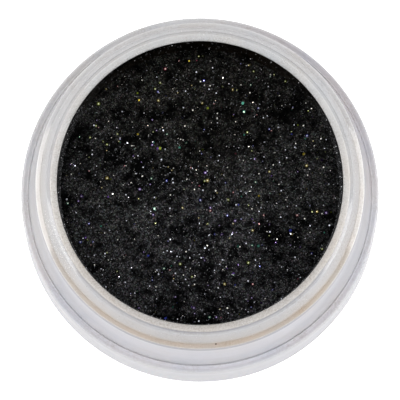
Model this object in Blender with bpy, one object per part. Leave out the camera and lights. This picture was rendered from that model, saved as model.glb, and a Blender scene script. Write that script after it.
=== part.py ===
"""A round, clear pot of loose glitter eyeshadow, open, without its lid.

The pot is double-walled. An outer shell makes the side wall and the foot. An inner jar stands in it
and carries the mouth, the neck and the cup that holds the powder, and it lifts out upwards. A hollow
open at the bottom runs round inside the jar, between the cup's wall and the neck's wall.
A blank sticker lies in the recess under the foot ring.

Units are metres, +Z is up, and the origin is the middle of the pot's underside.
"""

import math

import bmesh
import bpy

# Sizes that drive the design
POT_HEIGHT = 0.0198
SHELL_RADIUS = 0.0190
SHELL_HEIGHT = 0.0099
MOUTH_RADIUS = 0.0151
FIT_GAP = 0.0003

# Outer shell
SHELL_WALL = 0.0016
SHELL_FLOOR_TOP = 0.0022
SHELL_DRAFT = 0.0001
SHELL_RIM_ROUND = 0.0003
SEAT_STEP = 0.0001
SEAT_CLEARANCE = 0.00005
SHELL_CORNER_ROUND = 0.0010
FOOT_ROUND = 0.0004
FOOT_WIDTH = 0.0010
FOOT_RECESS = 0.0008

# Inner jar: mouth, neck and flange
LAND_WIDTH = 0.0007
LAND_STEP = 0.00025
EDGE_ROUND = 0.00015
NECK_TOP_RADIUS = 0.01738
NECK_FOOT_RADIUS = 0.01822
RIM_DROP = 0.0024
NECK_EDGE_ROUND = 0.0002
NECK_WALL = 0.0009
HOLLOW_TOP = 0.0164
HOLLOW_DRAFT = 0.00005
SPIGOT_LENGTH = 0.0016
SPIGOT_CHAMFER = 0.0003

# Inner jar: cup
CUP_WALL = 0.00095
CUP_FLOOR_TOP = 0.0040
CUP_TAPER = 0.0007
CUP_CORNER_ROUND = 0.0035

# Powder and sticker
POWDER_LEVEL = 0.0152
POWDER_CROWN = 0.00015
LABEL_RADIUS = 0.0155
LABEL_THICKNESS = 0.00015

# Facets
TURN_STEPS = 72
SHARP_ANGLE = math.radians(35)


def arc(centre, radius, start, end, steps=3):
    """Points of a round corner in the (radius, height) plane, from one angle to another in degrees."""
    angles = [math.radians(start + (end - start) * i / steps) for i in range(steps + 1)]
    return [
        (centre[0] + radius * math.cos(a), centre[1] + radius * math.sin(a)) for a in angles
    ]


def material(name, colour, roughness, transmission=0.0):
    """A Principled material with no metal in it."""
    made = bpy.data.materials.new(name)
    made.use_nodes = True
    shader = made.node_tree.nodes["Principled BSDF"]
    shader.inputs["Base Color"].default_value = (*colour, 1.0)
    shader.inputs["Roughness"].default_value = roughness
    shader.inputs["Metallic"].default_value = 0.0
    shader.inputs["Transmission Weight"].default_value = transmission
    return made


def turned(name, profile, finish):
    """A solid of revolution about Z. The profile starts and ends on the axis."""
    bm = bmesh.new()
    points = [bm.verts.new((r, 0.0, z)) for r, z in profile]
    edges = [bm.edges.new(pair) for pair in zip(points, points[1:])]
    bmesh.ops.spin(
        bm,
        geom=points + edges,
        cent=(0.0, 0.0, 0.0),
        axis=(0.0, 0.0, 1.0),
        angle=math.tau,
        steps=TURN_STEPS,
        use_merge=True,
    )
    bmesh.ops.remove_doubles(bm, verts=bm.verts, dist=1e-7)
    bmesh.ops.recalc_face_normals(bm, faces=bm.faces)
    mesh = bpy.data.meshes.new(name)
    bm.to_mesh(mesh)
    bm.free()
    mesh.shade_smooth()
    mesh.set_sharp_from_angle(angle=SHARP_ANGLE)
    mesh.materials.append(finish)
    piece = bpy.data.objects.new(name, mesh)
    bpy.context.scene.collection.objects.link(piece)
    return piece


def shell_profile():
    """Floor, bore, the shallow seat that the jar's flange covers, the ledge, side wall and foot ring."""
    bore = SHELL_RADIUS - SHELL_WALL
    corner = (bore - SHELL_CORNER_ROUND, SHELL_FLOOR_TOP + SHELL_CORNER_ROUND)
    rim = (SHELL_RADIUS - SHELL_RIM_ROUND, SHELL_HEIGHT - SHELL_RIM_ROUND)
    seat_height = SHELL_HEIGHT - SEAT_STEP
    seat_radius = NECK_FOOT_RADIUS + SEAT_CLEARANCE
    foot_radius = SHELL_RADIUS - SHELL_DRAFT
    foot = (foot_radius - FOOT_ROUND, FOOT_ROUND)
    foot_inner = foot[0] - FOOT_WIDTH
    profile = [(0.0, SHELL_FLOOR_TOP)]
    profile += arc(corner, SHELL_CORNER_ROUND, -90, 0)
    profile += [(bore, seat_height), (seat_radius, seat_height), (seat_radius, SHELL_HEIGHT)]
    profile += arc(rim, SHELL_RIM_ROUND, 90, 0)
    profile += arc(foot, FOOT_ROUND, 0, -90)
    profile += [(foot_inner, 0.0), (foot_inner - FOOT_RECESS / 4, FOOT_RECESS), (0.0, FOOT_RECESS)]
    return profile


def jar_profile():
    """Up the inside of the cup, over the mouth, down the neck, round the hollow and under the cup."""
    cup_foot = MOUTH_RADIUS - CUP_TAPER
    inner_corner = (cup_foot - CUP_CORNER_ROUND, CUP_FLOOR_TOP + CUP_CORNER_ROUND)
    lip_inner = (MOUTH_RADIUS + EDGE_ROUND, POT_HEIGHT - EDGE_ROUND)
    land_end = MOUTH_RADIUS + LAND_WIDTH
    rim_foot = POT_HEIGHT - RIM_DROP
    neck_edge = (NECK_TOP_RADIUS - NECK_EDGE_ROUND, rim_foot - NECK_EDGE_ROUND / 2)
    flange_bottom = SHELL_HEIGHT - SEAT_STEP + FIT_GAP
    spigot_radius = SHELL_RADIUS - SHELL_WALL - FIT_GAP
    spigot_bottom = flange_bottom - SPIGOT_LENGTH
    cup_outer_top = MOUTH_RADIUS - CUP_TAPER / 3 + CUP_WALL
    outer_round = CUP_CORNER_ROUND + CUP_WALL
    hollow_outer = NECK_TOP_RADIUS - NECK_WALL
    hollow_round = (hollow_outer - cup_outer_top) / 2
    hollow_end = (cup_outer_top + hollow_round, HOLLOW_TOP - hollow_round)
    profile = [(0.0, CUP_FLOOR_TOP)]
    profile += arc(inner_corner, CUP_CORNER_ROUND, -90, 0, steps=5)
    profile += arc(lip_inner, EDGE_ROUND, 180, 90, steps=2)
    profile += [(land_end, POT_HEIGHT), (land_end + LAND_STEP / 2, POT_HEIGHT - LAND_STEP)]
    profile += arc(neck_edge, NECK_EDGE_ROUND, 65, 0)
    profile += [(NECK_FOOT_RADIUS, flange_bottom), (spigot_radius, flange_bottom)]
    profile += [(spigot_radius, spigot_bottom + SPIGOT_CHAMFER)]
    profile += [(spigot_radius - SPIGOT_CHAMFER, spigot_bottom)]
    profile += [(hollow_outer + HOLLOW_DRAFT, spigot_bottom)]
    profile += arc(hollow_end, hollow_round, 0, 180)
    profile += arc(inner_corner, outer_round, 0, -90, steps=5)
    profile += [(0.0, CUP_FLOOR_TOP - CUP_WALL)]
    return profile


def powder_profile():
    """The cup's inside shape less the fit gap, with a slightly crowned top."""
    cup_foot = MOUTH_RADIUS - CUP_TAPER
    corner = (cup_foot - CUP_CORNER_ROUND, CUP_FLOOR_TOP + CUP_CORNER_ROUND)
    level_share = (POWDER_LEVEL - corner[1]) / (POT_HEIGHT - corner[1])
    edge_radius = cup_foot + CUP_TAPER * level_share - FIT_GAP
    profile = [(0.0, POWDER_LEVEL + POWDER_CROWN), (edge_radius * 0.7, POWDER_LEVEL + POWDER_CROWN / 2)]
    profile += [(edge_radius, POWDER_LEVEL)]
    profile += arc(corner, CUP_CORNER_ROUND - FIT_GAP, 0, -90, steps=5)
    profile += [(0.0, CUP_FLOOR_TOP + FIT_GAP)]
    return profile


def label_profile():
    """A thin disc under the recess's roof."""
    top = FOOT_RECESS - FIT_GAP
    bottom = top - LABEL_THICKNESS
    return [(0.0, top), (LABEL_RADIUS, top), (LABEL_RADIUS, bottom), (0.0, bottom)]


def build():
    for old in list(bpy.data.objects):
        bpy.data.objects.remove(old)
    shell_plastic = material("clear_shell", (0.90, 0.90, 0.91), 0.06, transmission=1.0)
    jar_plastic = material("clear_jar", (0.89, 0.88, 0.87), 0.08, transmission=1.0)
    glitter_powder = material("black_glitter_powder", (0.010, 0.010, 0.011), 0.75)
    label_paper = material("white_paper", (0.86, 0.86, 0.85), 0.60)

    turned("outer_shell", shell_profile(), shell_plastic)
    turned("inner_jar", jar_profile(), jar_plastic)
    turned("powder_fill", powder_profile(), glitter_powder)
    turned("base_label", label_profile(), label_paper)


build()
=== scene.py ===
"""The looks of an open, clear, double-walled pot full of loose black glitter eyeshadow.

Every piece stands for a CAD node and takes its place and size from that node's box.
Lengths are metres.  The axis of the pot is Z, and its underside is at Z = 0.
"""

import math
import random

import bmesh
import bpy
from mathutils import Matrix, Vector, noise


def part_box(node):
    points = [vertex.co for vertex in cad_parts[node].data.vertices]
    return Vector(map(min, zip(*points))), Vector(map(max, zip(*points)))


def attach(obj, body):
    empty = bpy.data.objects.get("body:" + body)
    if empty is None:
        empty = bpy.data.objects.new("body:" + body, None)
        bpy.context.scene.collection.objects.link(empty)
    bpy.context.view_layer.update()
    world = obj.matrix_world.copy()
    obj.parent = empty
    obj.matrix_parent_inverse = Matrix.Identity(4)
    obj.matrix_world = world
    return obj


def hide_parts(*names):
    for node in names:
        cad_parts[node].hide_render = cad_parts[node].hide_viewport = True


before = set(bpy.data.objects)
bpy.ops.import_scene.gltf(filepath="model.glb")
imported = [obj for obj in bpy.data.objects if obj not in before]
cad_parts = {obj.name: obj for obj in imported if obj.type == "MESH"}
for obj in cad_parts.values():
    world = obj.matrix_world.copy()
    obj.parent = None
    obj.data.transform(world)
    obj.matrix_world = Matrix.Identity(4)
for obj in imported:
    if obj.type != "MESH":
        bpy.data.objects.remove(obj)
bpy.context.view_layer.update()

MM = 0.001
SHELL_BODY, REFILL_BODY = "shell", "refill"

# Driving sizes, read from the CAD nodes
SHELL_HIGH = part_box("outer_shell")[1]
JAR_LOW, JAR_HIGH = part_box("inner_jar")
SHELL_RADIUS, SHELL_HEIGHT = SHELL_HIGH.x, SHELL_HIGH.z
NECK_FOOT_RADIUS, POT_HEIGHT = JAR_HIGH.x, JAR_HIGH.z
FIT_GAP = 0.3 * MM
CUP_BOTTOM = JAR_LOW.z
POWDER_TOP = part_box("powder_fill")[1].z

# Shell section
SHELL_WALL = 1.6 * MM
SHELL_FLOOR_TOP = 2.2 * MM
SHELL_DRAFT = 0.1 * MM
SEAT_STEP = 0.1 * MM
SEAT_CLEARANCE = 0.05 * MM
SEAT_GAP = 0.01 * MM
FOOT_ROUND = 0.4 * MM
FOOT_WIDTH = 1.0 * MM
FOOT_RECESS = 0.8 * MM

# Jar section
MOUTH_RADIUS = 15.1 * MM
LAND_HEIGHT = POT_HEIGHT - 0.04 * MM
LAND_WIDTH = 0.7 * MM
LIP_ROUND = 0.15 * MM
NECK_TOP_RADIUS = 17.38 * MM
RIM_DROP = 2.4 * MM
SPIGOT_LENGTH = 1.6 * MM
CUP_WALL = 0.95 * MM
NECK_WALL = 0.9 * MM
HOLLOW_TOP = 16.4 * MM
CUP_FLOOR_TOP = CUP_BOTTOM + CUP_WALL
CUP_TAPER = 0.7 * MM
CUP_CORNER_ROUND = 3.5 * MM

# The rim's two shallow facets: inner radius, inner height, width, and tilt in degrees
UPPER_FACET = (15.98 * MM, LAND_HEIGHT - 0.24 * MM, 0.22 * MM, 28.0)
LOWER_FACET = (16.90 * MM, POT_HEIGHT - 2.125 * MM, 0.4436 * MM, 33.0)

TURN_STEPS = 240
SHARP_ANGLE = math.radians(30)


# ---------------------------------------------------------------- shapes

def arc(centre, radius, start, end, steps=8):
    """Points of a round corner in the (radius, height) plane, between two angles in degrees."""
    angles = [math.radians(start + (end - start) * i / steps) for i in range(steps + 1)]
    return [(centre[0] + radius * math.cos(a), centre[1] + radius * math.sin(a)) for a in angles]


def add_piece(name, mesh, material, body):
    """Links a mesh as a piece of the object that rides on a body."""
    mesh.materials.append(material)
    piece = bpy.data.objects.new(name, mesh)
    bpy.context.scene.collection.objects.link(piece)
    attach(piece, body)
    return piece


def add_loose(name, mesh, material):
    """Links a piece of powder, dust or glitter, which rides on the jar."""
    return add_piece(name, mesh, material, REFILL_BODY)


def finished_mesh(bm, name, smooth=True):
    """Turns a bmesh into a mesh with sound normals."""
    bmesh.ops.recalc_face_normals(bm, faces=bm.faces)
    mesh = bpy.data.meshes.new(name)
    bm.to_mesh(mesh)
    bm.free()
    if smooth:
        mesh.shade_smooth()
    return mesh


def turned(name, profile, ring=False, rough_edge=None):
    """A mesh of revolution about Z.

    The profile runs from axis to axis, or is a closed ring.  A rough_edge function moves each point.
    """
    bm = bmesh.new()
    points = [bm.verts.new((r, 0.0, z)) for r, z in profile]
    edges = [bm.edges.new(pair) for pair in zip(points, points[1:])]
    if ring:
        edges.append(bm.edges.new((points[-1], points[0])))
    bmesh.ops.spin(
        bm,
        geom=points + edges,
        cent=(0.0, 0.0, 0.0),
        axis=(0.0, 0.0, 1.0),
        angle=math.tau,
        steps=TURN_STEPS,
        use_merge=True,
    )
    bmesh.ops.remove_doubles(bm, verts=bm.verts, dist=1e-7)
    if rough_edge:
        for vert in bm.verts:
            vert.co = rough_edge(vert.co)
    mesh = finished_mesh(bm, name)
    mesh.set_sharp_from_angle(angle=SHARP_ANGLE)
    return mesh


def shell_profile():
    """Floor, bore, seat, ledge, rounded rim, side wall, foot ring and recess of the outer shell."""
    bore = SHELL_RADIUS - SHELL_WALL
    corner_round, rim_round, bore_round, ring_round = 1.0 * MM, 0.3 * MM, 0.12 * MM, 0.2 * MM
    seat_draft, recess_draft = 0.03 * MM, 0.35 * MM
    seat_height = SHELL_HEIGHT - SEAT_STEP
    seat_radius = NECK_FOOT_RADIUS + SEAT_CLEARANCE
    foot = (SHELL_RADIUS - SHELL_DRAFT - FOOT_ROUND, FOOT_ROUND)
    foot_inner = foot[0] - FOOT_WIDTH
    profile = [(0.0, SHELL_FLOOR_TOP)]
    profile += arc((bore - corner_round, SHELL_FLOOR_TOP + corner_round), corner_round, -90, 0)
    profile += arc((bore + bore_round, seat_height - bore_round), bore_round, 180, 90, 4)
    profile += [(seat_radius, seat_height), (seat_radius + seat_draft, SHELL_HEIGHT)]
    profile += arc((SHELL_RADIUS - rim_round, SHELL_HEIGHT - rim_round), rim_round, 90, 0)
    profile += arc(foot, FOOT_ROUND, 0, -90)
    profile += arc((foot_inner, ring_round), ring_round, -90, -165, 4)
    profile += [(foot_inner - recess_draft, FOOT_RECESS), (0.0, FOOT_RECESS)]
    return profile


def facet(sizes):
    """A narrow shallow cone of the rim: its inner radius, its inner height, its width and its tilt."""
    radius, height, width, tilt = sizes
    return [(radius, height), (radius + width, height - width * math.tan(math.radians(tilt)))]


def jar_profile():
    """Cup, sealing land, sloped rim, tapered neck, flange and spigot of the inner jar."""
    cup_foot = MOUTH_RADIUS - CUP_TAPER
    corner = (cup_foot - CUP_CORNER_ROUND, CUP_FLOOR_TOP + CUP_CORNER_ROUND)
    land_round, edge_round, foot_round = 0.12 * MM, 0.08 * MM, 0.05 * MM
    step_width, step_drop = 0.06 * MM, 0.18 * MM
    spigot_chamfer, hollow_draft = 0.3 * MM, 0.05 * MM
    land_end = MOUTH_RADIUS + LAND_WIDTH
    edge = (NECK_TOP_RADIUS - edge_round, POT_HEIGHT - RIM_DROP - edge_round)
    flange_bottom = SHELL_HEIGHT - SEAT_STEP + SEAT_GAP
    spigot = SHELL_RADIUS - SHELL_WALL - FIT_GAP
    spigot_bottom = flange_bottom - SPIGOT_LENGTH
    cup_outer = MOUTH_RADIUS - CUP_TAPER / 3 + CUP_WALL
    hollow_outer = NECK_TOP_RADIUS - NECK_WALL
    hollow_round = (hollow_outer - cup_outer) / 2
    profile = [(0.0, CUP_FLOOR_TOP)]
    profile += arc(corner, CUP_CORNER_ROUND, -90, 0, 14)
    profile += arc((MOUTH_RADIUS + LIP_ROUND, LAND_HEIGHT - LIP_ROUND), LIP_ROUND, 180, 90, 5)
    profile += arc((land_end - land_round, LAND_HEIGHT - land_round), land_round, 90, 30, 4)
    profile += [(land_end + step_width, LAND_HEIGHT - step_drop)]
    profile += facet(UPPER_FACET) + facet(LOWER_FACET)[:1]
    profile += arc(edge, edge_round, 90 - LOWER_FACET[3], 0)
    profile += arc((NECK_FOOT_RADIUS - foot_round, flange_bottom + foot_round), foot_round, 0, -90, 4)
    profile += [(spigot, flange_bottom), (spigot, spigot_bottom + spigot_chamfer)]
    profile += [(spigot - spigot_chamfer, spigot_bottom), (hollow_outer + hollow_draft, spigot_bottom)]
    profile += arc((cup_outer + hollow_round, HOLLOW_TOP - hollow_round), hollow_round, 0, 180)
    profile += arc(corner, CUP_CORNER_ROUND + CUP_WALL, 0, -90, 14)
    profile += [(0.0, CUP_BOTTOM)]
    return profile


# ---------------------------------------------------------------- materials

PLASTIC_HAZE = 0.85
# Dark specks are grit; pale specks, brighter than the plastic, are painted glints and pale grit.
SPECK_DARK, SPECK_PALE_GLINT = (0.74, 0.70, 0.66), (1.09, 1.09, 1.09)
POWDER_DARK, POWDER_PALE = (0.0006, 0.0006, 0.00065), (0.0092, 0.0092, 0.0091)
GRAIN_PALE = (0.124, 0.126, 0.126)
# Brighter and bluer towards the front: a painted sheen.
POWDER_FRONT_SHEEN = (1.20, 1.18, 1.25)
FLAKE_ROUGHNESS = 0.22


def shaded(colour, tone):
    """A colour times a number, or times another colour."""
    tones = (tone, tone, tone) if isinstance(tone, (int, float)) else tone
    return tuple(c * t for c, t in zip(colour, tones))


def new_material(name):
    """A node material: its tree and its Principled shader."""
    made = bpy.data.materials.new(name)
    made.use_nodes = True
    return made, made.node_tree, made.node_tree.nodes["Principled BSDF"]


def object_point(tree):
    """The object's own coordinates, in metres."""
    return tree.nodes.new("ShaderNodeTexCoord").outputs["Object"]


def noise_map(tree, scale, detail=2.0, roughness=0.5, stretch=None):
    """A noise value from 0 to 1 with `scale` cells a metre."""
    node = tree.nodes.new("ShaderNodeTexNoise")
    node.inputs["Scale"].default_value = scale
    node.inputs["Detail"].default_value = detail
    node.inputs["Roughness"].default_value = roughness
    point = object_point(tree)
    if stretch:
        wide = tree.nodes.new("ShaderNodeMapping")
        wide.inputs["Scale"].default_value = stretch
        tree.links.new(point, wide.inputs["Vector"])
        point = wide.outputs["Vector"]
    tree.links.new(point, node.inputs["Vector"])
    return node.outputs["Fac"]


def value_range(tree, value, low, high, to_low, to_high):
    """Moves a value from one range to another, clamped."""
    node = tree.nodes.new("ShaderNodeMapRange")
    for socket, number in zip(("From Min", "From Max", "To Min", "To Max"), (low, high, to_low, to_high)):
        node.inputs[socket].default_value = number
    tree.links.new(value, node.inputs["Value"])
    return node.outputs["Result"]


def ramp(tree, value, stops):
    """A colour ramp through (position, colour) stops."""
    node = tree.nodes.new("ShaderNodeValToRGB")
    elements = node.color_ramp.elements
    while len(elements) < len(stops):
        elements.new(1.0)
    for element, (position, colour) in zip(elements, stops):
        element.position = position
        element.color = (*colour, 1.0)
    tree.links.new(value, node.inputs["Fac"])
    return node.outputs["Color"]


def math_node(tree, kind, first, second=None):
    """One arithmetic node; a number or a socket on either side."""
    node = tree.nodes.new("ShaderNodeMath")
    node.operation = kind
    for index, item in enumerate((first, second)):
        if item is None:
            continue
        if isinstance(item, (int, float)):
            node.inputs[index].default_value = item
        else:
            tree.links.new(item, node.inputs[index])
    return node.outputs[0]


def mixed(tree, kind, amount, first, second):
    """Mixes two colours; amount, first and second may be sockets or values."""
    node = tree.nodes.new("ShaderNodeMix")
    node.data_type = "RGBA"
    node.blend_type = kind
    colours = [s for s in node.inputs if s.type == "RGBA"]
    for socket, item in zip((node.inputs["Factor"], colours[0], colours[1]), (amount, first, second)):
        if isinstance(item, (int, float)):
            socket.default_value = item
        elif isinstance(item, tuple):
            socket.default_value = (*item, 1.0)
        else:
            tree.links.new(item, socket)
    return [s for s in node.outputs if s.type == "RGBA"][0]


def bump(tree, shader, height, distance, strength):
    """Feeds a height to the shader's normal."""
    node = tree.nodes.new("ShaderNodeBump")
    node.inputs["Distance"].default_value = distance
    node.inputs["Strength"].default_value = strength
    tree.links.new(height, node.inputs["Height"])
    tree.links.new(node.outputs["Normal"], shader.inputs["Normal"])


def turned_place(tree):
    """Radius and height of a point on a turned piece, and its direction across (X) and along (Y)."""
    split = tree.nodes.new("ShaderNodeSeparateXYZ")
    tree.links.new(object_point(tree), split.inputs[0])
    x, y, z = split.outputs
    squares = math_node(tree, "ADD", math_node(tree, "MULTIPLY", x, x), math_node(tree, "MULTIPLY", y, y))
    radius = math_node(tree, "SQRT", squares)
    return radius, z, math_node(tree, "DIVIDE", x, radius), math_node(tree, "DIVIDE", y, radius)


def band(tree, value, low, high, soft):
    """1 between two limits and 0 outside, with soft edges."""
    rise = value_range(tree, value, low - soft, low + soft, 0.0, 1.0)
    fall = value_range(tree, value, high - soft, high + soft, 1.0, 0.0)
    return math_node(tree, "MULTIPLY", rise, fall)


def facing(tree, across, along, heading, spread):
    """1 towards a heading, in degrees clockwise from the back, fading to 0 a spread away from it."""
    turn = math.radians(heading)
    side = math_node(tree, "ADD", math_node(tree, "MULTIPLY", across, math.sin(turn)),
                     math_node(tree, "MULTIPLY", along, math.cos(turn)))
    return value_range(tree, side, math.cos(math.radians(spread)),
                       math.cos(math.radians(spread) / 3), 0.0, 1.0)


def turning_marks(tree, radius, height, across):
    """Fine rings round the axis, a little uneven on the way round."""
    spot = tree.nodes.new("ShaderNodeCombineXYZ")
    tree.links.new(radius, spot.inputs[0])
    tree.links.new(height, spot.inputs[1])
    tree.links.new(math_node(tree, "MULTIPLY", across, 0.6 * MM), spot.inputs[2])
    marks = tree.nodes.new("ShaderNodeTexNoise")
    marks.inputs["Scale"].default_value = 4200.0
    marks.inputs["Detail"].default_value = 3.0
    tree.links.new(spot.outputs[0], marks.inputs["Vector"])
    return value_range(tree, marks.outputs[0], 0.3, 0.7, 0.95, 1.0)


def paint_light_by_zone(tree, base, place, light_zones):
    """Paints shade, shade lines, highlights and colour fringes: multiplies a colour by the tone of every
    zone that a point lies in.
    """
    radius, height, across, along = place
    for inner, outer, low, high, soft, heading, spread, tone in light_zones:
        mask = math_node(tree, "MULTIPLY", band(tree, radius, inner * MM, outer * MM, soft * MM),
                         band(tree, height, low * MM, high * MM, soft * MM))
        if spread < 180:
            mask = math_node(tree, "MULTIPLY", mask, facing(tree, across, along, heading, spread))
        base = mixed(tree, "MULTIPLY", mask, base, tone)
    return base


def grit_and_glint_amount(tree, place, grit):
    """Where powder grit and painted glints lie: between two radii of the rim's top, and less at the back."""
    radius, height, across, along = place
    ring = band(tree, radius, grit[0] * MM, grit[1] * MM, 0.05 * MM)
    on_top = value_range(tree, height, 17.0 * MM, 17.5 * MM, 0.0, 0.8)
    cleaner = value_range(tree, facing(tree, across, along, 20, 130), 0.0, 1.0, 1.0, 0.35)
    return math_node(tree, "MULTIPLY", math_node(tree, "MULTIPLY", ring, on_top), cleaner)


def specked(tree, base, place, grit, top):
    """Adds dark specks of grit and pale specks brighter than the plastic, which are painted glints and pale
    grit: a few all over, more above the height `top`, and most in the grit.
    """
    patch = value_range(tree, noise_map(tree, 210.0, 2.0), 0.42, 0.62, 0.25, 1.0)
    upper = value_range(tree, place[1], (top - 0.4) * MM, (top + 0.2) * MM, 0.10, 0.60)
    amount = math_node(tree, "MULTIPLY", patch, upper)
    if grit:
        amount = math_node(tree, "MAXIMUM", amount, grit_and_glint_amount(tree, place, grit))
    # The dark specks are grit; the pale ones are painted glints and pale grit.
    for scale, low, high, tone in ((4600.0, 0.36, 0.56, SPECK_DARK), (5200.0, 0.66, 0.50, SPECK_PALE_GLINT)):
        speck = value_range(tree, noise_map(tree, scale, 3.0, 0.7), low, high, 1.0, 0.0)
        base = mixed(tree, "MULTIPLY", math_node(tree, "MULTIPLY", speck, amount), base, tone)
    return base


def clear_plastic(name, colour, light_zones, gloss, grit=None):
    """Milky clear plastic: cloudy tones, zones of painted shade, painted highlights and painted colour
    fringes, turned rings, specks, scuffs, and gloss on its top.

    gloss is the height in mm above which the clear coat is whole, and the coat's share below it.
    grit is the pair of radii in mm that powder grit and painted glints lie between.
    """
    made, tree, shader = new_material(name)
    place = turned_place(tree)
    radius, height, across = place[:3]
    top, low_coat = gloss
    base = ramp(tree, noise_map(tree, 260.0, 3.0, 0.55), [(0.3, shaded(colour, (0.945, 0.965, 0.99))),
                                                          (0.5, colour),
                                                          (0.72, shaded(colour, (0.99, 0.97, 0.945)))])
    # Painted shade, shade lines, highlights and colour fringes, zone by zone
    base = paint_light_by_zone(tree, base, place, light_zones)
    base = mixed(tree, "MULTIPLY", 1.0, base, turning_marks(tree, radius, height, across))
    base = specked(tree, base, place, grit, top)
    tree.links.new(base, shader.inputs["Base Color"])
    scuff = noise_map(tree, 9000.0, 3.0, 0.7, stretch=(1.0, 0.12, 0.4))
    worn = noise_map(tree, 420.0, 4.0)
    rough = math_node(tree, "MULTIPLY", value_range(tree, scuff, 0.55, 0.8, 0.0, 0.12),
                      value_range(tree, worn, 0.4, 0.65, 0.2, 1.0))
    tree.links.new(math_node(tree, "ADD", rough, 0.12), shader.inputs["Roughness"])
    bump(tree, shader, noise_map(tree, 190.0, 2.0), 0.02 * MM, 0.5)
    shader.inputs["Transmission Weight"].default_value = 1.0 - PLASTIC_HAZE
    shader.inputs["IOR"].default_value = 1.57
    shader.inputs["Specular IOR Level"].default_value = 0.01
    shader.inputs["Subsurface Weight"].default_value = 1.0
    shader.inputs["Subsurface Radius"].default_value = (1.0, 1.0, 1.0)
    shader.inputs["Subsurface Scale"].default_value = 1.5 * MM
    shine = value_range(tree, height, (top - 0.1) * MM, top * MM, low_coat, 1.0)
    tree.links.new(shine, shader.inputs["Coat Weight"])
    shader.inputs["Coat Roughness"].default_value = 0.09
    return made


def powder_material(name, back_tone, lift=1.0):
    """Loose black powder: a soot-black body, clumps, and fine grains of many greys; the clumps' lighter and
    darker patches are partly its own tone and partly painted shade of lumps.

    It takes back_tone towards the back, which paints shade there on the loose powder, and a painted sheen
    towards the front; lift makes the whole of it paler or darker.
    """
    made, tree, shader = new_material(name)
    # Clump noise: lighter and darker patches, partly the powder's own tone and partly painted shade of
    # lumps.
    parts = ((1500.0, 4.0, 0.4), (520.0, 3.0, 0.35), (170.0, 2.0, 0.25))
    clump = None
    for scale, detail, share in parts:
        layer = math_node(tree, "MULTIPLY", noise_map(tree, scale, detail, 0.6), share)
        clump = layer if clump is None else math_node(tree, "ADD", clump, layer)
    body = ramp(tree, clump, [(0.43, POWDER_DARK), (0.6, shaded(POWDER_PALE, lift))])
    cells = tree.nodes.new("ShaderNodeTexVoronoi")
    cells.inputs["Scale"].default_value = 9200.0
    tree.links.new(object_point(tree), cells.inputs["Vector"])
    pick = tree.nodes.new("ShaderNodeSeparateColor")
    tree.links.new(cells.outputs["Color"], pick.inputs[0])
    grain = math_node(tree, "POWER", pick.outputs[0], 4.0)
    shade = math_node(tree, "MULTIPLY", grain, value_range(tree, clump, 0.43, 0.6, 0.05, 1.0))
    grey = ramp(tree, shade, [(0.0, (0.0, 0.0, 0.0)), (1.0, shaded(GRAIN_PALE, lift))])
    hue = tree.nodes.new("ShaderNodeTexWhiteNoise")
    tree.links.new(cells.outputs["Color"], hue.inputs["Vector"])
    tint = mixed(tree, "MIX", 0.3, (1.0, 1.0, 1.0), hue.outputs["Color"])
    grey = mixed(tree, "MULTIPLY", 1.0, grey, tint)
    whole = mixed(tree, "ADD", 1.0, body, grey)
    across, along = turned_place(tree)[2:]
    # Darker towards the back by back_tone, which on the loose powder is painted shade.
    whole = mixed(tree, "MULTIPLY", facing(tree, across, along, 0, 75), whole, back_tone)
    # A painted sheen: brighter and bluer towards the front.
    whole = mixed(tree, "MULTIPLY", facing(tree, across, along, 180, 80), whole, POWDER_FRONT_SHEEN)
    tree.links.new(whole, shader.inputs["Base Color"])
    fine = noise_map(tree, 5200.0, 3.0, 0.6)
    tree.links.new(value_range(tree, fine, 0.3, 0.7, 0.6, 0.85), shader.inputs["Roughness"])
    bump(tree, shader, fine, 0.06 * MM, 0.6)
    shader.inputs["Specular IOR Level"].default_value = 0.01
    return made


def dust_material(name, dark, light):
    """Loose grains, mottled between a dark tone and a light one."""
    made, tree, shader = new_material(name)
    mottle = noise_map(tree, 2600.0, 4.0, 0.65)
    tree.links.new(ramp(tree, mottle, [(0.3, dark), (0.75, light)]), shader.inputs["Base Color"])
    tree.links.new(value_range(tree, mottle, 0.3, 0.7, 0.55, 0.85), shader.inputs["Roughness"])
    bump(tree, shader, mottle, 0.02 * MM, 0.5)
    shader.inputs["Specular IOR Level"].default_value = 0.1
    return made


def flake_material(name, colour):
    """A metallised glitter flake, whose colour and gloss shift a little from flake to flake."""
    made, tree, shader = new_material(name)
    shift = noise_map(tree, 1500.0, 1.0)
    tree.links.new(ramp(tree, shift, [(0.35, shaded(colour, 0.7)), (0.6, colour)]),
                   shader.inputs["Base Color"])
    gloss = value_range(tree, noise_map(tree, 20000.0), 0.3, 0.7, FLAKE_ROUGHNESS, FLAKE_ROUGHNESS + 0.12)
    tree.links.new(gloss, shader.inputs["Roughness"])
    shader.inputs["Metallic"].default_value = 1.0
    return made


def paper_material():
    """Coated white sticker paper with a faint fibre and mottle."""
    made, tree, shader = new_material("sticker_paper")
    fibre = noise_map(tree, 4200.0, 5.0, 0.65, stretch=(1.0, 0.35, 1.0))
    mottle = noise_map(tree, 500.0, 3.0)
    base = ramp(tree, fibre, [(0.3, (0.80, 0.80, 0.785)), (0.7, (0.88, 0.88, 0.87))])
    base = mixed(tree, "MULTIPLY", value_range(tree, mottle, 0.35, 0.7, 0.0, 0.5), base, (0.95, 0.94, 0.92))
    tree.links.new(base, shader.inputs["Base Color"])
    tree.links.new(value_range(tree, fibre, 0.3, 0.7, 0.45, 0.65), shader.inputs["Roughness"])
    bump(tree, shader, fibre, 0.01 * MM, 0.4)
    return made


# ---------------------------------------------------------------- powder

POWDER_GAP = 0.03 * MM
POWDER_CELLS = 288
SIDE_START = 1.0 * MM
FILM_THICKNESS = 0.02 * MM
FILM_GAP = 0.006 * MM
FILM_STEPS = 6


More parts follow.
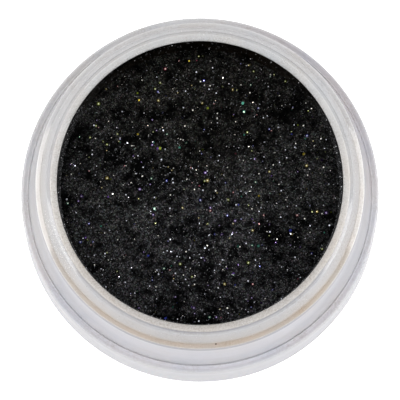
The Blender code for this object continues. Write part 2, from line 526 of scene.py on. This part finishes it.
def cup_radius(z):
    """Radius of the cup's inside wall at a height."""
    low = CUP_FLOOR_TOP + CUP_CORNER_ROUND
    foot = MOUTH_RADIUS - CUP_TAPER
    if z >= low:
        return foot + CUP_TAPER * (z - low) / (POT_HEIGHT - low)
    drop = min(low - z, CUP_CORNER_ROUND)
    return foot - CUP_CORNER_ROUND + math.sqrt(CUP_CORNER_ROUND ** 2 - drop ** 2)


def powder_height(x, y):
    """Height of the powder's surface: broad swells, clumps, crumbs and grains, each a share of a mm."""
    p = Vector((x, y, 0.0)) / MM
    swell = noise.noise(p * 0.12 + Vector((3.1, 0.7, 0.0)))
    clump = noise.fractal(p * 0.45 + Vector((11.0, 5.0, 0.0)), 0.9, 2.1, 3)
    crumb = noise.noise(p * 1.6 + Vector((2.0, 9.0, 4.0)))
    grain = noise.noise(p * 4.3)
    return POWDER_TOP + (0.18 * swell + 0.10 * clump + 0.05 * crumb + 0.045 * grain - 0.22) * MM


def disc_point(u, v, radius):
    """A square grid's point (-1..1) moved onto a disc without crowding."""
    if u == 0 and v == 0:
        return 0.0, 0.0
    if abs(u) > abs(v):
        r, a = u, math.pi / 4 * v / u
    else:
        r, a = v, math.pi / 2 - math.pi / 4 * u / v
    return radius * r * math.cos(a), radius * r * math.sin(a)


def powder_mesh():
    """A closed bed of powder: fine surface on top, smooth sides and floor along the cup."""
    n = POWDER_CELLS
    top_radius = cup_radius(POWDER_TOP) - POWDER_GAP
    bm = bmesh.new()
    grid = []
    for j in range(n + 1):
        row = []
        for i in range(n + 1):
            x, y = disc_point(2 * i / n - 1, 2 * j / n - 1, top_radius)
            row.append(bm.verts.new((x, y, powder_height(x, y))))
        grid.append(row)
    for j in range(n):
        for i in range(n):
            bm.faces.new((grid[j][i], grid[j][i + 1], grid[j + 1][i + 1], grid[j + 1][i]))
    ring = [grid[0][i] for i in range(n)] + [grid[j][n] for j in range(n)]
    ring += [grid[n][n - i] for i in range(n)] + [grid[n - j][0] for j in range(n)]
    low = CUP_FLOOR_TOP + POWDER_GAP
    levels = [POWDER_TOP - SIDE_START, CUP_FLOOR_TOP + CUP_CORNER_ROUND]
    levels += [low + CUP_CORNER_ROUND * (1 - math.sin(math.radians(a))) for a in (25, 45, 65, 82)]
    for z in levels:
        radius = cup_radius(z - POWDER_GAP) - POWDER_GAP
        below = []
        for v in ring:
            flat = Vector((v.co.x, v.co.y, 0)).normalized() * radius
            below.append(bm.verts.new((flat.x, flat.y, z)))
        for k in range(len(ring)):
            m = (k + 1) % len(ring)
            bm.faces.new((ring[m], ring[k], below[k], below[m]))
        ring = below
    centre = bm.verts.new((0.0, 0.0, levels[-1]))
    for k in range(len(ring)):
        bm.faces.new((ring[(k + 1) % len(ring)], ring[k], centre))
    return finished_mesh(bm, "powder_bed")


def dust_film_mesh():
    """The thin coat of powder that clings to the cup's wall above the powder, with a ragged top."""
    low, high = POWDER_TOP - 0.9 * MM, LAND_HEIGHT - LIP_ROUND
    heights = [low + (high - low) * k / FILM_STEPS for k in range(FILM_STEPS + 1)]
    outside = [(cup_radius(z) - FILM_GAP, z) for z in heights]
    inside = [(cup_radius(z) - FILM_GAP - FILM_THICKNESS, z) for z in reversed(heights)]

    def ragged(point):
        if point.z < high - 0.01 * MM:
            return point
        dip = noise.noise(Vector((point.x, point.y, 0.0)) / (0.5 * MM))
        return Vector((point.x, point.y, point.z - (0.03 + 0.04 * dip) * MM))

    return turned("wall_dust", outside + inside, ring=True, rough_edge=ragged)


# ---------------------------------------------------------------- glitter and loose dust

FLAKE_THICKNESS = 0.004 * MM
FLAKE_LIFT = 0.012 * MM
FLAKE_SHOWING = 0.7
STEEPEST_TILT = 50
POWDER_MARGIN = 0.25 * MM
SLOPE_SHARE = 6
SLOPE_CRUMBS, RIM_FLAKES = 300, 260
DUST_SEED, GLITTER_SEED = 11, 7


def add_flake(bm, place, size, normal, spin):
    """A thin closed hexagonal flake."""
    turn = normal.to_track_quat("Z", "Y").to_matrix() @ Matrix.Rotation(spin, 3, "Z")
    layers = []
    for side in (-0.5, 0.5):
        layer = []
        for k in range(6):
            a = math.radians(60 * k)
            corner = Vector((size / 2 * math.cos(a), size / 2 * math.sin(a), side * FLAKE_THICKNESS))
            layer.append(bm.verts.new(place + turn @ corner))
        layers.append(layer)
    under, over = layers
    bm.faces.new(list(reversed(under)))
    bm.faces.new(over)
    for k in range(6):
        m = (k + 1) % 6
        bm.faces.new((under[k], under[m], over[m], over[k]))


def add_crumb(bm, place, size, draw):
    """A closed, uneven grain with eight faces."""
    tips = []
    for direction in ((1, 0, 0), (0, 1, 0), (-1, 0, 0), (0, -1, 0), (0, 0, 1), (0, 0, -1)):
        reach = size / 2 * draw.uniform(0.6, 1.0)
        tips.append(bm.verts.new(place + Vector(direction) * reach))
    for k in range(4):
        m = (k + 1) % 4
        bm.faces.new((tips[k], tips[m], tips[4]))
        bm.faces.new((tips[m], tips[k], tips[5]))


def on_disc(draw, radius, lean):
    """A random point of a disc; lean > 0 favours the front (-Y), lean < 0 the back."""
    while True:
        x, y = draw.uniform(-1, 1), draw.uniform(-1, 1)
        if x * x + y * y > 1:
            continue
        if draw.random() < 0.5 - 0.5 * lean * y:
            return x * radius, y * radius


# name, colour, how many, smallest and largest size in mm, lean to the front, share with a bright core
GLITTER = (
    ("glitter_silver_warm", (0.96, 0.94, 0.88), 430, 0.03, 0.19, -0.55, 0.0),
    ("glitter_silver_cool", (0.86, 0.88, 1.00), 580, 0.03, 0.19, 0.65, 0.0),
    ("glitter_grey", (0.26, 0.26, 0.275), 3000, 0.04, 0.11, 0.2, 0.0),
    ("glitter_gold", (0.22, 0.17, 0.02), 56, 0.16, 0.40, -0.95, 0.9),
    ("glitter_lime", (0.15, 0.19, 0.02), 58, 0.16, 0.38, -0.95, 0.9),
    ("glitter_teal", (0.04, 0.15, 0.11), 44, 0.14, 0.36, -0.6, 0.7),
    ("glitter_rose", (0.24, 0.05, 0.08), 36, 0.12, 0.34, -0.1, 0.7),
    ("glitter_blue", (0.03, 0.04, 0.24), 60, 0.12, 0.36, 0.9, 0.8),
    ("glitter_violet", (0.13, 0.06, 0.28), 66, 0.12, 0.36, 0.9, 0.8),
)
CORE_SHARE, CORE_TURN, CORE_LIFT = 0.42, 0.4, 0.012 * MM
CORE_WARM, CORE_COOL = (0.98, 0.93, 0.78), (0.93, 0.90, 1.0)


def scattered(count, smallest, largest, lean, draw):
    """Places, sizes, normals and turns of flakes that lie half sunk and tilted on the powder."""
    reach = cup_radius(POWDER_TOP) - POWDER_MARGIN
    for _ in range(count):
        x, y = on_disc(draw, reach, lean)
        size = (smallest + (largest - smallest) * draw.random() ** 1.9) * MM
        tilt, heading = math.radians(STEEPEST_TILT * draw.random() ** 0.8), draw.uniform(0, math.tau)
        normal = Vector((math.sin(tilt) * math.cos(heading), math.sin(tilt) * math.sin(heading),
                         math.cos(tilt)))
        lift = size / 2 * math.sin(tilt) * FLAKE_SHOWING + FLAKE_LIFT
        yield Vector((x, y, powder_height(x, y) + lift)), size, normal, draw.uniform(0, math.tau)


def glitter_meshes(draw):
    """One mesh of flakes for each colour, and warm and cool bright flakes on top of some of them."""
    cores = {"core_warm": (CORE_WARM, bmesh.new()), "core_cool": (CORE_COOL, bmesh.new())}
    for name, colour, count, smallest, largest, lean, cored in GLITTER:
        bm = bmesh.new()
        core = cores["core_warm" if lean < 0 else "core_cool"][1]
        for place, size, normal, spin in scattered(count, smallest, largest, lean, draw):
            add_flake(bm, place, size, normal, spin)
            if draw.random() < cored:
                add_flake(core, place + normal * CORE_LIFT, CORE_SHARE * size, normal, spin + CORE_TURN)
        yield name, colour, finished_mesh(bm, name, smooth=False)
    for name, (colour, bm) in cores.items():
        yield name, colour, finished_mesh(bm, name, smooth=False)


def wall_grains_mesh(draw, name, count):
    """Grains and flakes that cling to the cup's wall above the powder, fewer at the back."""
    low, high, off_wall = POWDER_TOP - 0.2 * MM, LAND_HEIGHT - 0.25 * MM, 0.04 * MM
    back_starts, bare_share = 0.55, 0.85
    bm = bmesh.new()
    while count:
        a, z = draw.uniform(0, math.tau), draw.uniform(low, high)
        if math.sin(a) > back_starts and draw.random() < bare_share:
            continue
        size = draw.uniform(0.04, 0.11) * MM
        radius = cup_radius(z) - off_wall - size / 2
        normal = Vector((draw.uniform(-0.4, 0.4), draw.uniform(-0.4, 0.4), 1.0)).normalized()
        place = Vector((radius * math.cos(a), radius * math.sin(a), z))
        add_flake(bm, place, size, normal, draw.uniform(0, math.tau))
        count -= 1
    return finished_mesh(bm, name, smooth=False)


def rim_height(radius):
    """Height of the rim's top surface: the flat land, its step and the slope down to the neck."""
    corners = [(MOUTH_RADIUS + LAND_WIDTH, LAND_HEIGHT)] + facet(UPPER_FACET) + facet(LOWER_FACET)
    if radius < corners[0][0]:
        return LAND_HEIGHT
    for (r0, z0), (r1, z1) in zip(corners, corners[1:]):
        if radius < r1:
            return z0 + (z1 - z0) * (radius - r0) / (r1 - r0)
    return corners[-1][1]


def on_rim(radius, a):
    """The rim's point at a radius and an angle."""
    return Vector((radius * math.cos(a), radius * math.sin(a), rim_height(radius)))


def rim_point(draw, low, high):
    """A random point on the rim, between two radii."""
    radius = draw.uniform(low, high)
    return on_rim(radius, draw.uniform(0, math.tau))


def rim_dust_mesh(draw, name, count):
    """Stray grains of powder on the land round the mouth, and one in SLOPE_SHARE on the slope outside it."""
    land_start = MOUTH_RADIUS + 0.08 * MM
    slope_start, slope_end = MOUTH_RADIUS + LAND_WIDTH + 0.2 * MM, NECK_TOP_RADIUS - 0.2 * MM
    bm = bmesh.new()
    for k in range(count):
        spread = LAND_WIDTH * (0.12 + 0.85 * draw.random() ** 1.3)
        place = rim_point(draw, land_start, MOUTH_RADIUS + spread)
        if k % SLOPE_SHARE == 0:
            place = rim_point(draw, slope_start, slope_end)
        size = draw.uniform(0.03, 0.08) * MM
        add_crumb(bm, place + Vector((0, 0, -0.1 * size)), size, draw)
    return finished_mesh(bm, name, smooth=False)


def slope_crumbs_mesh(draw):
    """A loose patch of pale grains on the slope at the front left."""
    bm = bmesh.new()
    for _ in range(SLOPE_CRUMBS):
        radius, a = draw.uniform(15.9, 16.95) * MM, math.radians(draw.triangular(-171, -142, -156))
        add_crumb(bm, on_rim(radius, a), draw.uniform(0.03, 0.10) * MM, draw)
    return finished_mesh(bm, "slope_crumbs", smooth=False)


def grit_mesh(draw):
    """One larger dark grain that lies on the slope near the front."""
    radius, a, size, lift = 16.97 * MM, math.radians(-84.3), 0.27 * MM, 0.03 * MM
    bm = bmesh.new()
    add_crumb(bm, on_rim(radius, a) + Vector((0, 0, lift)), size, draw)
    return finished_mesh(bm, "grit", smooth=False)


def rim_glitter_mesh(draw):
    """Stray glitter flakes on the land."""
    bm = bmesh.new()
    for _ in range(RIM_FLAKES):
        place = rim_point(draw, MOUTH_RADIUS + 0.12 * MM, MOUTH_RADIUS + LAND_WIDTH - 0.08 * MM)
        size = draw.uniform(0.05, 0.14) * MM
        normal = Vector((draw.uniform(-0.3, 0.3), draw.uniform(-0.3, 0.3), 1.0)).normalized()
        add_flake(bm, place + Vector((0, 0, -FLAKE_LIFT)), size, normal, draw.uniform(0, 1))
    return finished_mesh(bm, "rim_glitter", smooth=False)


# ---------------------------------------------------------------- the pieces

# Painted light, zone by zone: each tone paints shade, a shade line, a highlight or a colour fringe into the
# plastic.
# Columns: inner and outer radius, lowest and highest Z and softness in mm, the heading where a zone is
# strongest (degrees clockwise from the back), how far round it spreads (180 for all round), and its tone.
# Where they overlap, their tones multiply.
SHELL_PAINTED_LIGHT = (
    # side wall: painted shade, darker low down, in a band that stands for the inner floor's corner seen
    # through the wall, and over the whole front
    (18.6, 19.2, -9.0, 7.0, 1.5, 0, 180, (0.86, 0.86, 0.88)),
    (18.6, 19.2, 4.0, 6.0, 1.0, 0, 180, (0.91, 0.91, 0.92)),
    (17.0, 19.2, -1.0, 20.0, 0.3, 180, 115, (0.90, 0.90, 0.935)),
    # ledge, from the neck's foot outwards: a painted highlight over the seam's shade, lighter at the front,
    # a painted shade line, the rounded rim darkened, and painted shade to the back right and back left
    (18.2, 18.42, 9.3, 10.1, 0.05, 0, 180, (1.34, 1.34, 1.33)),
    (18.40, 18.64, 9.3, 10.1, 0.06, 180, 60, (1.16, 1.16, 1.17)),
    (18.58, 18.72, 9.3, 10.1, 0.04, 0, 180, (0.93, 0.92, 0.92)),
    (18.72, 19.2, 8.0, 10.1, 0.04, 0, 180, (0.90, 0.90, 0.90)),
    (18.2, 19.2, 9.3, 10.1, 0.05, 48, 45, (0.84, 0.82, 0.84)),
    (18.2, 19.2, 9.3, 10.1, 0.05, 306, 45, (0.87, 0.87, 0.87)),
)
JAR_PAINTED_LIGHT = (
    # land round the mouth: painted shade at the back and at the front, and a warm tint at the front
    (14.9, 15.85, 19.3, 20.0, 0.06, 0, 180, (1.00, 1.00, 0.99)),
    (14.9, 15.85, 19.3, 20.0, 0.06, 0, 100, (0.91, 0.92, 0.93)),
    (14.9, 15.85, 19.3, 20.0, 0.06, 180, 150, (1.0, 0.95, 0.885)),
    (14.9, 15.85, 19.3, 20.0, 0.06, 180, 75, (0.86, 0.875, 0.91)),
    # the land's edge: a painted shade line, darker at the front, and a painted highlight on all but the
    # front
    (15.84, 15.97, 19.0, 20.0, 0.03, 0, 180, (0.93, 0.93, 0.94)),
    (15.84, 15.99, 19.0, 20.0, 0.03, 180, 70, (0.87, 0.88, 0.90)),
    (15.78, 16.05, 19.0, 20.0, 0.05, 0, 125, (1.14, 1.14, 1.13)),
    # slope: painted shade, all round and on all but the front, a little darker and bluer at the front, and a
    # warm tint at the front
    (15.85, 17.3, 17.0, 19.72, 0.06, 0, 180, (0.80, 0.80, 0.805)),
    (15.85, 17.3, 17.0, 19.72, 0.06, 180, 100, (0.95, 0.95, 0.965)),
    (16.05, 16.75, 17.5, 19.6, 0.08, 0, 125, (0.80, 0.80, 0.81)),
    (16.3, 17.3, 17.2, 19.1, 0.25, 180, 140, (1.03, 1.00, 0.96)),
    # the slope's foot: a painted highlight at the back, and a painted amber fringe with painted shade at the
    # front
    (16.80, 17.36, 17.0, 18.3, 0.08, 0, 80, (1.20, 1.20, 1.20)),
    (16.80, 17.36, 17.0, 18.3, 0.10, 175, 110, (1.07, 0.99, 0.875)),
    (16.86, 17.36, 17.0, 18.1, 0.10, 178, 55, (0.96, 0.92, 0.90)),
    # the neck's top: a painted shade line all round, darkest at the front
    (17.29, 17.60, 16.5, 17.43, 0.10, 0, 180, (0.88, 0.88, 0.89)),
    (17.29, 17.60, 16.5, 17.43, 0.10, 180, 80, (0.68, 0.68, 0.69)),
    # neck: painted shade and painted highlights: a little lighter all round, darker across the front with a
    # lighter middle, painted shade to the back right and back left, darker at the top, lighter lower down
    (17.35, 18.4, 9.0, 17.3, 0.1, 0, 180, (1.03, 1.03, 1.03)),
    (17.35, 18.4, 9.0, 17.3, 0.1, 180, 110, (0.84, 0.84, 0.885)),
    (17.35, 18.4, 9.0, 17.3, 0.1, 180, 50, (1.13, 1.13, 1.13)),
    (17.35, 18.4, 9.0, 17.3, 0.1, 60, 45, (0.82, 0.80, 0.82)),
    (17.35, 18.4, 9.0, 17.3, 0.1, 302, 45, (0.87, 0.87, 0.87)),
    (17.35, 18.4, 14.5, 17.3, 1.8, 0, 180, (0.83, 0.83, 0.83)),
    (17.35, 18.4, 5.0, 13.0, 2.5, 0, 180, (1.29, 1.29, 1.29)),
    # the neck's foot: a painted highlight over the seam's shade
    (17.95, 18.4, 9.0, 10.3, 0.4, 0, 180, (1.24, 1.24, 1.24)),
)
SHELL_COLOUR, JAR_COLOUR = (0.735, 0.728, 0.745), (0.765, 0.757, 0.766)
SHELL_GLOSS, JAR_GLOSS = (9.62, 0.10), (17.3, 0.06)
JAR_GRIT_AND_GLINTS = (14.9, 15.85)

shell_plastic = clear_plastic("clear_shell_plastic", SHELL_COLOUR, SHELL_PAINTED_LIGHT, SHELL_GLOSS)
jar_plastic = clear_plastic("clear_jar_plastic", JAR_COLOUR, JAR_PAINTED_LIGHT, JAR_GLOSS, JAR_GRIT_AND_GLINTS)

shell = add_piece("shell_clear", turned("shell_clear", shell_profile()), shell_plastic,
                  SHELL_BODY)
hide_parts("outer_shell")
jar = add_piece("jar_clear", turned("jar_clear", jar_profile()), jar_plastic,
                REFILL_BODY)
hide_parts("inner_jar")
# The loose powder is darker and warmer at the back: painted shade.
powder = add_loose("powder_bed", powder_mesh(), powder_material("black_powder", (0.70, 0.68, 0.62)))
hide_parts("powder_fill")
add_loose("wall_dust", dust_film_mesh(), powder_material("clinging_powder", (0.30, 0.22, 0.15), 0.9))

glitter_draw = random.Random(GLITTER_SEED)
for name, colour, mesh in glitter_meshes(glitter_draw):
    add_loose(name, mesh, flake_material(name, colour))

# What lies loose on the wall and the rim, all drawn from one seed
dust_draw = random.Random(DUST_SEED)
for name, colour, count in (("wall_grains", (0.10, 0.10, 0.105), 4200),
                            ("wall_flakes", (0.75, 0.75, 0.78), 260)):
    add_loose(name, wall_grains_mesh(dust_draw, name, count), flake_material(name, colour))
for name, count, dark, light in (("rim_dust", 1500, (0.06, 0.05, 0.04), (0.30, 0.23, 0.17)),
                                 ("rim_crumbs", 1000, (0.80, 0.78, 0.74), (0.95, 0.94, 0.92))):
    add_loose(name, rim_dust_mesh(dust_draw, name, count), dust_material(name, dark, light))
add_loose("slope_crumbs", slope_crumbs_mesh(dust_draw),
          dust_material("slope_crumbs", (0.84, 0.83, 0.80), (0.98, 0.97, 0.96)))
add_loose("grit", grit_mesh(dust_draw), dust_material("grit", (0.01, 0.008, 0.006), (0.05, 0.04, 0.03)))
add_loose("rim_glitter", rim_glitter_mesh(dust_draw), flake_material("rim_glitter", (0.97, 0.96, 0.94)))

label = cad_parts["base_label"]
label.data.materials.clear()
label.data.materials.append(paper_material())


# ---------------------------------------------------------------- studio

FLOOR_SIZE, FLOOR_DROP = 6.0, 0.05 * MM
FLOOR_GREY, FLOOR_GLOW = 0.45, 0.45
WORLD_LOW, WORLD_HIGH = 0.47, 0.75
CAMERA_TILT = math.radians(7.5)
CAMERA_DISTANCE = 1.2
CAMERA_AIM = Vector((0.0, 0.0, 5.7 * MM))
SEEN_WIDTH = 42.15 * MM
SENSOR_WIDTH = 36.0


def softbox(name, place, size, power):
    """An oval area light aimed at the pot."""
    target = Vector((0.0, 0.0, POT_HEIGHT / 2))
    data = bpy.data.lights.new(name, "AREA")
    data.shape = "ELLIPSE"
    data.size, data.size_y = size
    data.energy = power
    lamp = bpy.data.objects.new(name, data)
    lamp.location = place
    lamp.rotation_euler = (target - Vector(place)).to_track_quat("-Z", "Y").to_euler()
    bpy.context.scene.collection.objects.link(lamp)


def studio():
    """A white surround that is brighter above, two softboxes to each side, one in front, and the floor."""
    world = bpy.data.worlds.new("studio_world")
    bpy.context.scene.world = world
    world.use_nodes = True
    tree = world.node_tree
    split = tree.nodes.new("ShaderNodeSeparateXYZ")
    tree.links.new(tree.nodes.new("ShaderNodeTexCoord").outputs["Generated"], split.inputs[0])
    strength = value_range(tree, split.outputs[2], 0.0, 0.6, WORLD_LOW, WORLD_HIGH)
    tree.links.new(strength, tree.nodes["Background"].inputs["Strength"])
    tree.nodes["Background"].inputs["Color"].default_value = (1.0, 1.0, 1.0, 1.0)
    for side, name in ((-1, "left"), (1, "right")):
        softbox(name + "_softbox", (side * 0.43, -0.11, 0.32), (0.26, 0.12), 0.40)
        softbox(name + "_low_softbox", (side * 0.45, 0.05, 0.205), (0.40, 0.13), 0.70)
    softbox("front_softbox", (0.0, -0.50, 0.20), (0.90, 0.40), 0.45)

    bpy.ops.mesh.primitive_plane_add(size=FLOOR_SIZE, location=(0.0, 0.0, -FLOOR_DROP))
    floor = bpy.context.object
    floor.name = "studio_floor"
    made, tree, shader = new_material("floor_white")
    shader.inputs["Base Color"].default_value = (FLOOR_GREY, FLOOR_GREY, FLOOR_GREY, 1.0)
    shader.inputs["Roughness"].default_value = 0.9
    shader.inputs["Emission Color"].default_value = (1.0, 1.0, 1.0, 1.0)
    path = tree.nodes.new("ShaderNodeLightPath")
    glow = value_range(tree, path.outputs["Is Camera Ray"], 0.0, 1.0, FLOOR_GLOW, 1.0)
    tree.links.new(glow, shader.inputs["Emission Strength"])
    floor.data.materials.append(made)
    bpy.context.scene.view_settings.view_transform = "Standard"


def camera():
    """A long lens, almost straight above, leaning a little towards the front."""
    back = Vector((0.0, -math.sin(CAMERA_TILT), math.cos(CAMERA_TILT)))
    data = bpy.data.cameras.new("camera")
    data.sensor_width = SENSOR_WIDTH
    data.lens = SENSOR_WIDTH * (CAMERA_DISTANCE + CAMERA_AIM.z - POT_HEIGHT) / SEEN_WIDTH
    data.clip_start, data.clip_end = 0.1, 10.0
    cam = bpy.data.objects.new("camera", data)
    cam.location = CAMERA_AIM + back * CAMERA_DISTANCE
    cam.rotation_euler = (-back).to_track_quat("-Z", "Y").to_euler()
    bpy.context.scene.collection.objects.link(cam)
    bpy.context.scene.camera = cam


studio()
camera()
